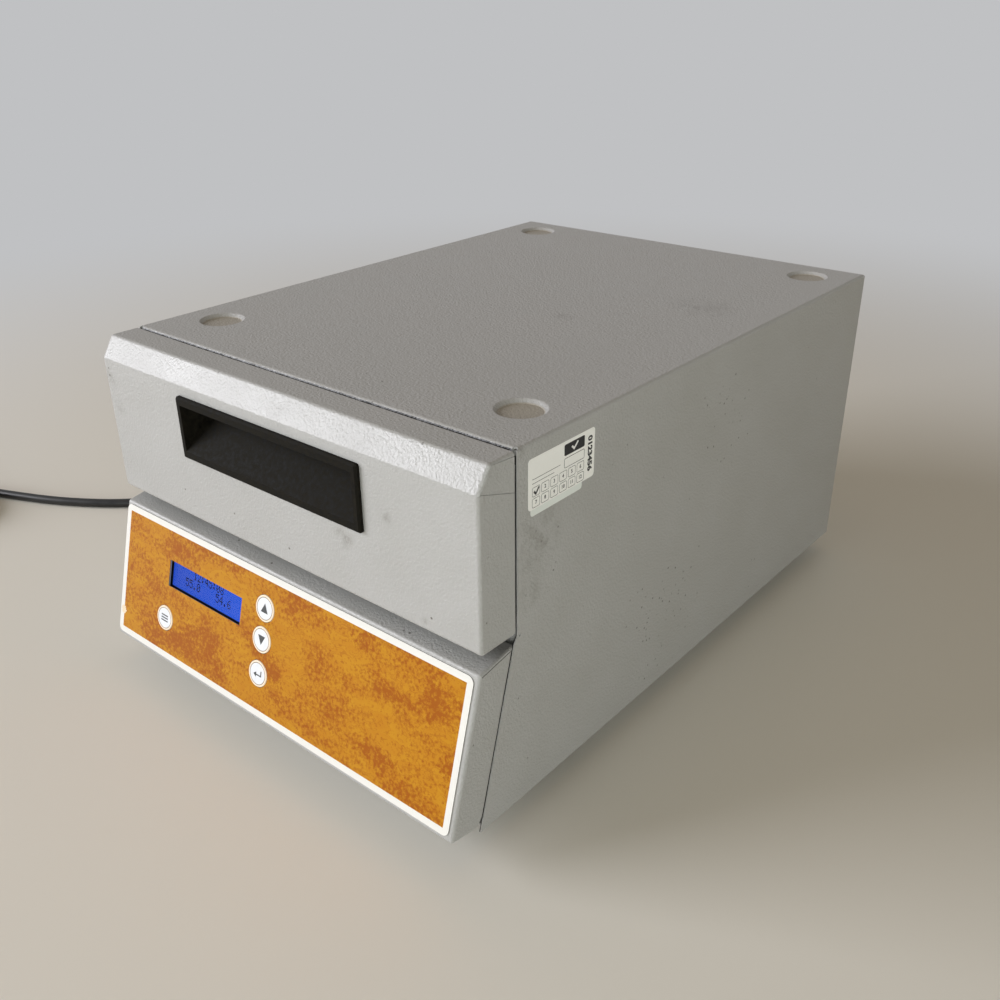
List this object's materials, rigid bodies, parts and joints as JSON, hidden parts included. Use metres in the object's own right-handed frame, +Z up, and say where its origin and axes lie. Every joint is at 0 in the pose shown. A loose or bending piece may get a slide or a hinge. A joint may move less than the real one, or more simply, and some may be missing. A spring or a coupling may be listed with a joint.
{
  "type": "slide hybridization oven",
  "caption": "Benchtop slide hybridization oven: folded case, drop-down door with flush pull, tilted control console, heated chamber and mains lead.",
  "frame": {"origin": "on the table, under the middle of the oven's own width and depth, without its lead", "axes": "+Z up, -Y towards the user (door and console), +X to the user's right"},
  "size_m": [0.7717, 0.632, 0.224],
  "materials": {
    "case_paint": "textured satin powder coat",
    "plated_steel": "zinc plated",
    "stainless_liner": "satin stainless",
    "magnet_nickel": "nickel plated",
    "mineral_wool": "matt fibre board",
    "red_silicone": "satin",
    "grey_silicone": "matt",
    "black_plastic": "fine moulded texture",
    "white_nylon": "satin",
    "printed_film": "matt printed film",
    "key_white": "satin",
    "clear_pane": "clear polished",
    "display_frame": "lit blue display",
    "circuit_board": "satin solder mask",
    "spacer_brass": "machined",
    "ribbon_grey": "satin",
    "foot_rubber": "matt",
    "lead_black": "satin"
  },
  "bodies": {
    "case": {"cover": "case_paint", "base_pan": "case_paint", "front_frame": "case_paint", "rear_panel": "case_paint", "rear_screws": "plated_steel", "deck_plate": "plated_steel", "chamber_liner": "stainless_liner", "heater_mat_bottom": "red_silicone", "heater_mat_top": "red_silicone", "temperature_probe": "stainless_liner", "safety_thermostat": "black_plastic", "tray_guide_left": "plated_steel", "tray_guide_right": "plated_steel", "hinge_pins": "plated_steel", "hinge_bracket_left": "plated_steel", "hinge_bracket_right": "plated_steel", "catch_magnets": "magnet_nickel", "console_housing": "case_paint", "console_brackets": "plated_steel", "control_overlay": "printed_film", "key_switches": "black_plastic", "control_board": "circuit_board", "board_spacers": "spacer_brass", "display_window": "clear_pane", "display_module": "display_frame", "display_ribbon": "ribbon_grey", "power_supply": "circuit_board", "heater_relay": "black_plastic", "mains_inlet": "black_plastic", "fuse_drawer": "black_plastic", "power_switch_housing": "black_plastic", "foot_screws": "plated_steel", "insulation_bottom": "mineral_wool", "insulation_top": "mineral_wool", "insulation_left": "mineral_wool", "insulation_right": "mineral_wool", "insulation_rear": "mineral_wool", "foot_front_left": "foot_rubber", "foot_front_right": "foot_rubber", "foot_rear_left": "foot_rubber", "foot_rear_right": "foot_rubber", "inlet_connector": "lead_black", "power_cord": "lead_black", "power_cord_coil": "lead_black", "power_cord_tail": "lead_black", "power_plug": "lead_black"},
    "door": {"door_skin": "case_paint", "door_inner_panel": "plated_steel", "door_screws": "plated_steel", "door_gasket": "grey_silicone", "door_insulation": "mineral_wool", "door_pull": "black_plastic", "pivot_plate_left": "plated_steel", "pivot_plate_right": "plated_steel", "hinge_bushes": "white_nylon"},
    "key_up": {"key_up": "key_white"},
    "key_down": {"key_down": "key_white"},
    "key_enter": {"key_enter": "key_white"},
    "key_mode": {"key_mode": "key_white"},
    "power_rocker": {"power_rocker": "black_plastic"}
  },
  "joints": [
    {"name": "door_hinge", "type": "hinge", "parent": "case", "child": "door", "pos_m": [0, -0.1865, 0.1325], "axis": [1, 0, 0], "range_deg": [0, 90]},
    {"name": "key_up_press", "type": "slide", "parent": "case", "child": "key_up", "axis": [0, 0.9641, -0.2656], "range_m": [0, 0.0005], "stiffness_N_per_m": 3000, "springref_m": -0.0002},
    {"name": "key_down_press", "type": "slide", "parent": "case", "child": "key_down", "axis": [0, 0.9641, -0.2656], "range_m": [0, 0.0005], "stiffness_N_per_m": 3000, "springref_m": -0.0002},
    {"name": "key_enter_press", "type": "slide", "parent": "case", "child": "key_enter", "axis": [0, 0.9641, -0.2656], "range_m": [0, 0.0005], "stiffness_N_per_m": 3000, "springref_m": -0.0002},
    {"name": "key_mode_press", "type": "slide", "parent": "case", "child": "key_mode", "axis": [0, 0.9641, -0.2656], "range_m": [0, 0.0005], "stiffness_N_per_m": 3000, "springref_m": -0.0002},
    {"name": "power_rocker_tilt", "type": "hinge", "parent": "case", "child": "power_rocker", "pos_m": [-0.04, 0.2198, 0.062], "axis": [1, 0, 0], "range_deg": [-16, 0]}
  ]
}
